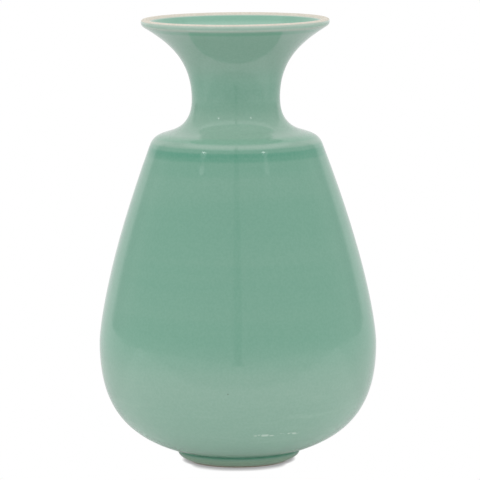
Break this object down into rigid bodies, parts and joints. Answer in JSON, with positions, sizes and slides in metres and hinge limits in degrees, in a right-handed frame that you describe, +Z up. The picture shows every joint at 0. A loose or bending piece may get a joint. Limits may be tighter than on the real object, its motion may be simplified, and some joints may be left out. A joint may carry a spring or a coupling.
{
  "type": "sake bottle",
  "caption": "Celadon-glazed stoneware bottle with a full low belly, long sloping wall, small rounded shoulder, waisted neck, trumpet mouth with a rolled bare lip, and a low foot ring.",
  "frame": {"origin": "centre of the foot ring's standing face, on the table", "axes": "+Z up along the bottle's axis of revolution; +X and +Y are any two level directions, because the bottle is round"},
  "size_m": [0.1376, 0.1376, 0.22],
  "materials": {
    "celadon_glaze": "gloss",
    "liner_glaze": "gloss",
    "stoneware": "matte",
    "slip": "matte"
  },
  "bodies": {
    "root": {"foot_ring": "stoneware", "foot_lute": "slip", "lower_body": "stoneware", "belly_lute": "slip", "upper_body": "stoneware", "neck_lute": "slip", "neck": "stoneware", "outer_glaze": "celadon_glaze", "inner_glaze": "liner_glaze", "base_glaze": "liner_glaze"}
  },
  "joints": []
}
